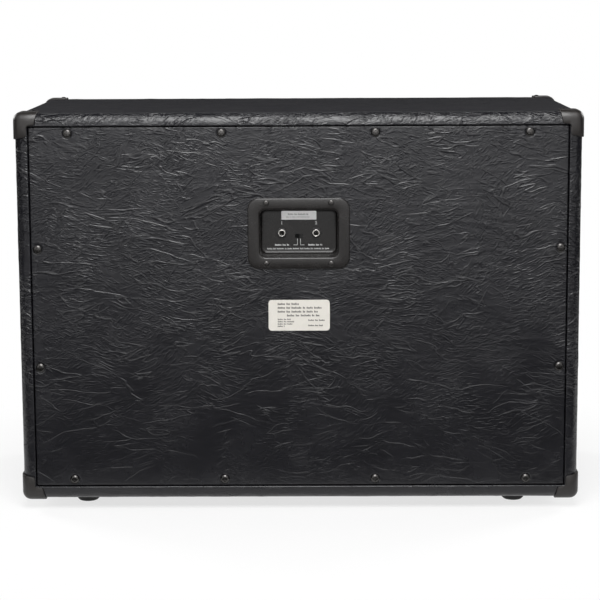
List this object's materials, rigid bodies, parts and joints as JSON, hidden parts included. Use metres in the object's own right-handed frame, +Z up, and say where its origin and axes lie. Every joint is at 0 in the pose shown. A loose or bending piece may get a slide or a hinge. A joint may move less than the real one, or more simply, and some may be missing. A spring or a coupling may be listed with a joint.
{
  "type": "guitar speaker cabinet",
  "caption": "Closed-back guitar speaker cabinet in black leathercloth, with a screwed rear panel, recessed socket dish, corner protectors, side handles and a cloth grille.",
  "frame": {"origin": "on the floor, midway between the four feet and below the middle of the box", "axes": "+Z up, +Y out of the rear panel, the grille faces -Y, +X to the right seen from the grille"},
  "size_m": [0.7088, 0.3044, 0.5058],
  "materials": {
    "board": "raw plywood and fibreboard",
    "covering": "black grained vinyl leathercloth, creased",
    "corner_plastic": "satin moulded dark grey",
    "dish_plastic": "satin moulded near-black",
    "handle_plastic": "fine moulded texture",
    "handle_grip": "ribbed soft grip",
    "foot_rubber": "matt black rubber",
    "black_screws": "black oxide, worn bright",
    "bright_screws": "zinc plated",
    "socket_metal": "nickel plated",
    "socket_plastic": "black moulding",
    "terminal_brass": "tinned tags",
    "terminal_board": "brown board",
    "label_paper": "off-white label",
    "grille_cloth": "woven black and silver cloth",
    "piping": "pale vinyl bead",
    "hook_and_loop": "black hook and loop",
    "basket_paint": "black enamel",
    "ferrite": "sintered ferrite",
    "motor_steel": "passivated steel",
    "spider_cloth": "varnished pleated cloth",
    "cone_paper": "pressed paper",
    "coil_copper": "copper on a thin former",
    "gasket_board": "pressed board",
    "lead_sheath": "black flexible sheath"
  },
  "bodies": {
    "cabinet": {"top_panel": "board", "bottom_panel": "board", "left_side_panel": "board", "right_side_panel": "board", "front_baffle": "board", "rear_panel": "board", "front_cleats": "board", "rear_cleats": "board", "grille_frame": "board", "shell_covering": "covering", "rear_panel_covering": "covering", "rear_corner_protectors": "corner_plastic", "front_corner_protectors": "corner_plastic", "jack_dish": "dish_plastic", "left_handle_dish": "handle_plastic", "right_handle_dish": "handle_plastic", "left_handle_grip": "handle_grip", "right_handle_grip": "handle_grip", "rubber_feet": "foot_rubber", "rear_panel_screws": "black_screws", "handle_screws": "black_screws", "corner_screws": "bright_screws", "jack_dish_screws": "bright_screws", "foot_screws": "bright_screws", "foot_washers": "bright_screws", "speaker_bolts": "bright_screws", "tee_nuts": "bright_screws", "jack_bushes": "socket_metal", "jack_cases": "socket_plastic", "jack_nuts": "socket_plastic", "mode_switch_body": "socket_plastic", "jack_terminals": "terminal_brass", "speaker_terminals": "terminal_board", "rating_label": "label_paper", "dish_label": "label_paper", "grille_cloth": "grille_cloth", "grille_piping": "piping", "grille_fastener_pads": "hook_and_loop", "left_basket": "basket_paint", "right_basket": "basket_paint", "left_magnet": "ferrite", "right_magnet": "ferrite", "left_front_plate": "motor_steel", "right_front_plate": "motor_steel", "left_back_plate": "motor_steel", "right_back_plate": "motor_steel", "left_spider": "spider_cloth", "right_spider": "spider_cloth", "left_cone_edge": "spider_cloth", "right_cone_edge": "spider_cloth", "speaker_gaskets": "gasket_board", "left_speaker_lead": "lead_sheath", "right_speaker_lead": "lead_sheath"},
    "left_cone_assembly": {"left_cone": "cone_paper", "left_dust_cap": "cone_paper", "left_voice_coil": "coil_copper"},
    "right_cone_assembly": {"right_cone": "cone_paper", "right_dust_cap": "cone_paper", "right_voice_coil": "coil_copper"},
    "switch_slider": {"mode_switch_slider": "socket_plastic"}
  },
  "joints": [
    {"name": "left_cone_travel", "type": "slide", "parent": "cabinet", "child": "left_cone_assembly", "axis": [0, 1, 0], "range_m": [-0.003, 0.003], "stiffness_N_per_m": 7000, "deforming": ["left_cone_edge", "left_spider"]},
    {"name": "right_cone_travel", "type": "slide", "parent": "cabinet", "child": "right_cone_assembly", "axis": [0, 1, 0], "range_m": [-0.003, 0.003], "stiffness_N_per_m": 7000, "deforming": ["right_cone_edge", "right_spider"]},
    {"name": "mode_switch_slide", "type": "slide", "parent": "cabinet", "child": "switch_slider", "axis": [-1, 0, 0], "range_m": [0, 0.004]}
  ]
}
